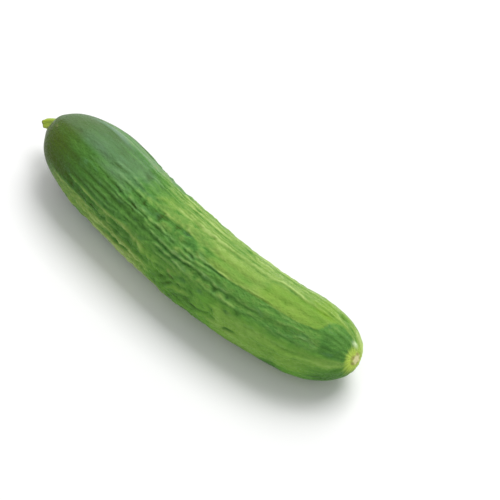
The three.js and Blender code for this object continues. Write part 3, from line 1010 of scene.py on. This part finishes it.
def make_stub(line):
    """The stub in the same form: five blunt angles, fibres between them, a flared foot, a ragged cut."""
    length = line.along[-1]
    angle = np.arange(STUB_COLUMNS)[None, :] * TURN / STUB_COLUMNS - TURN / 2
    side = np.linspace(0, 1, STUB_ROWS)[:, None]
    cut = np.linspace(1, 0, CUT_ROWS + 1)[1:, None]
    share = np.concatenate([side, np.ones_like(cut)])
    inward = np.concatenate([np.ones_like(side), cut])
    angled = np.cos(STUB_ANGLE_COUNT * angle + STUB_TWIST * share)
    fibre = np.cos(FIBRE_COUNT * angle + 2 * np.sin(4 * angle) + FIBRE_TWIST * share)

    radius = STUB_FOOT_RADIUS + (STUB_TIP_RADIUS - STUB_FOOT_RADIUS) * share
    radius = radius + FOOT_FLARE * (1 - share) ** FOOT_FLARE_POWER
    radius = radius + CUT_LIP * smoothstep(share, CUT_LIP_START, 1)
    radius = radius + STUB_ANGLE_HEIGHT * angled + FIBRE_HEIGHT * fibre * smoothstep(share, *FIBRE_START)
    ragged = CUT_SLANT * np.cos(2 * angle + 0.8) + CUT_NOTCH * np.cos(5 * angle + 2) + FIBRE_HEIGHT * fibre
    along = length * share + ragged * smoothstep(share, CUT_START, 1)
    along = along - CUT_HOLLOW * (1 - inward ** CUT_HOLLOW_POWER)
    along = along - CUT_ROUNDING * bump(inward, 1, CUT_ROUNDING_WIDTH)

    def from_point(values, first):
        """One more row before the others, for the ring that shrinks to a point."""
        row = np.broadcast_to(first, (1, STUB_COLUMNS))
        return np.concatenate([row, values + np.zeros((1, STUB_COLUMNS))])

    along = from_point(along, 0)
    spread = from_point(radius * inward, 0)
    place = line.place(along, spread, angle + 0 * along)
    straight = np.stack([along, spread * np.sin(angle), spread * np.cos(angle)], -1)
    dry_side = DRY_RIM_LEVEL + (1 - DRY_RIM_LEVEL) * np.cos(angle - DRY_RIM_SIDE)
    masks = {
        "tip": share,
        "cut": 1 - smoothstep(inward, *CUT_FACE),
        "rim": bump(inward, 1, DRY_RIM_WIDTH) * smoothstep(share, DRY_RIM_START, 1) * dry_side,
        "ridge": ANGLE_TONE * angled + FIBRE_TONE * fibre,
    }
    return place, straight, {name: from_point(mask, mask[:1]) for name, mask in masks.items()}


# Materials

def linear(colour):
    """A hex colour as the numbers that a shader takes."""
    parts = [int(colour[k:k + 2], 16) / 255 for k in (1, 3, 5)]
    return [p / 12.92 if p <= 0.04045 else ((p + 0.055) / 1.055) ** 2.4 for p in parts] + [1]


class NodeMaterial:
    """A material built up from named masks and noise."""

    def __init__(self, name):
        self.material = bpy.data.materials.new(name)
        self.material.use_nodes = True
        self.nodes = self.material.node_tree.nodes
        self.links = self.material.node_tree.links
        self.shader = self.nodes["Principled BSDF"]

    def fill(self, socket, value):
        if isinstance(value, bpy.types.NodeSocket):
            self.links.new(value, socket)
        else:
            socket.default_value = value

    def put(self, kind, inputs, **settings):
        node = self.nodes.new(kind)
        for key, value in settings.items():
            setattr(node, key, value)
        for key, value in inputs.items():
            self.fill(node.inputs[key], value)
        return node

    def mask(self, name):
        return self.put("ShaderNodeAttribute", {}, attribute_name=name).outputs["Fac"]

    def skin_place(self, scale):
        place = self.put("ShaderNodeAttribute", {}, attribute_name="straight").outputs["Vector"]
        return self.put("ShaderNodeMapping", {"Vector": place, "Scale": scale}).outputs["Vector"]

    def noise(self, scale, detail, roughness):
        inputs = {"Vector": self.skin_place(scale), "Scale": 1, "Detail": detail, "Roughness": roughness}
        return self.put("ShaderNodeTexNoise", inputs).outputs["Fac"]

    def math(self, operation, first, second):
        return self.put("ShaderNodeMath", {0: first, 1: second}, operation=operation).outputs[0]

    def scaled(self, value, low, high, to_low=0, to_high=1):
        inputs = {"Value": value, "From Min": low, "From Max": high, "To Min": to_low, "To Max": to_high}
        return self.put("ShaderNodeMapRange", inputs).outputs["Result"]

    def mixed(self, share, first, second):
        if isinstance(first, str):
            first = linear(first)
        inputs = {0: share, 6: first, 7: linear(second)}
        return self.put("ShaderNodeMix", inputs, data_type="RGBA").outputs[2]

    def tinted(self, colour, tints):
        for mask, strength, tint in tints:
            colour = self.mixed(self.math("MULTIPLY", self.mask(mask), strength), colour, tint)
        return colour

    def ramp(self, value, stops):
        node = self.put("ShaderNodeValToRGB", {"Fac": value})
        elements = node.color_ramp.elements
        while len(elements) < len(stops):
            elements.new(0.5)
        for element, (place, colour) in zip(elements, stops):
            element.position = place
            element.color = linear(colour)
        return node.outputs["Color"]

    def bumped(self, height, distance, strength):
        inputs = {"Height": height, "Distance": distance, "Strength": strength}
        return self.put("ShaderNodeBump", inputs).outputs["Normal"]

    def finish(self, **inputs):
        for key, value in inputs.items():
            self.fill(self.shader.inputs[key.replace("_", " ")], value)
        return self.material


def skin_material():
    """Waxy green skin: streaked lengthwise, dull at the stalk end with wax bloom and painted sheen, yellow
    round the blossom scar, with painted highlights, painted shade and a painted sky reflection mixed into its
    colour.
    """
    skin = NodeMaterial("cucumber_skin")
    streaks = skin.scaled(skin.noise(*STREAKS), 0.3, 0.7, -0.5, 0.5)
    flecks = skin.scaled(skin.noise(*FLECKS), 0.3, 0.7, -0.5, 0.5)
    tone = skin.math("ADD", skin.mask("tone"), skin.math("MULTIPLY", streaks, STREAK_TONE))
    tone = skin.math("ADD", tone, skin.math("MULTIPLY", flecks, FLECK_TONE))
    colour = skin.ramp(skin.math("MULTIPLY", tone, TONE_SCALE), TONE_STOPS)
    colour = skin.tinted(colour, LOWER_TINTS)
    for noise, start, full, strength, tint in CLOUD_TINTS:
        clouds = skin.scaled(skin.noise(*noise), start, full, 0, strength)
        colour = skin.mixed(skin.math("MULTIPLY", clouds, skin.mask("shade")), colour, tint)
    colour = skin.tinted(colour, UPPER_TINTS)
    roughness = skin.scaled(skin.mask("bloom_and_sheen"), 0, 1, *SKIN_ROUGHNESS)
    roughness = skin.math("ADD", roughness, skin.math("MULTIPLY", flecks, FLECK_ROUGHNESS))
    normal = skin.bumped(skin.noise(*GRAIN), GRAIN_DEPTH * MM, GRAIN_STRENGTH)
    return skin.finish(
        Base_Color=colour, Roughness=roughness, Normal=normal, Specular_IOR_Level=SKIN_SPECULAR
    )


def stalk_material():
    """Yellow-green fibrous stalk that dries to straw and brown at the cut."""
    stalk = NodeMaterial("cucumber_stalk")
    fibres = stalk.noise(*FIBRES)
    colour = stalk.mixed(stalk.scaled(stalk.mask("tip"), 0.1, 0.7), STALK_GREEN, STALK_YELLOW)
    groove = stalk.scaled(stalk.mask("ridge"), -1, 0.6, 0.55, 0)
    colour = stalk.mixed(groove, colour, STALK_GREEN)
    colour = stalk.mixed(stalk.scaled(fibres, 0.5, 0.8, 0, 0.25), colour, CUT_STRAW)
    colour = stalk.mixed(stalk.mask("cut"), colour, CUT_STRAW)
    colour = stalk.mixed(stalk.math("MULTIPLY", stalk.mask("rim"), 0.9), colour, CUT_BROWN)
    roughness = stalk.scaled(fibres, 0.3, 0.7, 0.5, 0.7)
    normal = stalk.bumped(fibres, 0.15 * MM, 0.8)
    return stalk.finish(Base_Color=colour, Roughness=roughness, Normal=normal)


def floor_material():
    floor = NodeMaterial("pale_floor")
    return floor.finish(Base_Color=FLOOR_GREY, Roughness=FLOOR_ROUGHNESS)


# Scene

def add_piece(name, shape, material, node, shift):
    place, straight, masks = shape
    piece = ring_mesh(name, place + shift, masks, straight)
    piece.data.materials.append(material)
    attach(piece, "root")
    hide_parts(node)


def add_floor():
    mesh = bpy.data.meshes.new("floor")
    half = FLOOR_HALF
    corners = [(-half, -half, 0), (half, -half, 0), (half, half, 0), (-half, half, 0)]
    mesh.from_pydata(corners, [], [(0, 1, 2, 3)])
    mesh.materials.append(floor_material())
    floor = add_object("floor", mesh)


def add_softbox(name, place, size, power):
    light = bpy.data.lights.new(name, "AREA")
    light.shape = "RECTANGLE"
    light.size, light.size_y = size
    light.energy = power
    box = add_object(name, light)
    box.location = place
    box.rotation_euler = (-Vector(place)).to_track_quat("-Z", "Y").to_euler()


def add_light():
    world = bpy.data.worlds.new("studio")
    world.use_nodes = True
    background = world.node_tree.nodes["Background"]
    background.inputs["Color"].default_value = WORLD_WHITE
    background.inputs["Strength"].default_value = WORLD_STRENGTH
    bpy.context.scene.world = world
    for name, place, size, power in SOFTBOXES:
        add_softbox(name, place, size, power)
    bpy.context.scene.view_settings.view_transform = "Standard"


def add_camera():
    data = bpy.data.cameras.new("camera")
    data.lens = CAMERA_LENS
    camera = add_object("camera", data)
    level = math.cos(CAMERA_ELEVATION)
    sideways = math.sin(CAMERA_AZIMUTH) * level
    backwards = math.cos(CAMERA_AZIMUTH) * level
    back = Vector((sideways, -backwards, math.sin(CAMERA_ELEVATION)))
    camera.location = CAMERA_AIM + back * CAMERA_DISTANCE
    camera.rotation_euler = back.to_track_quat("Z", "Y").to_euler()
    bpy.context.scene.camera = camera


def main():
    line = fruit_line()
    fruit = make_fruit(line)
    low, high = (np.array(corner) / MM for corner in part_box("fruit"))
    own_low, own_high = fruit[0].min((0, 1)), fruit[0].max((0, 1))
    shift = (low + high - own_low - own_high) / 2
    shift[2] = low[2] - own_low[2]
    add_piece("cucumber_fruit", fruit, skin_material(), "fruit", shift)
    add_piece("cucumber_stalk", make_stub(stub_line(line)), stalk_material(), "stem_stub", shift)
    add_floor()
    add_light()
    add_camera()


main()
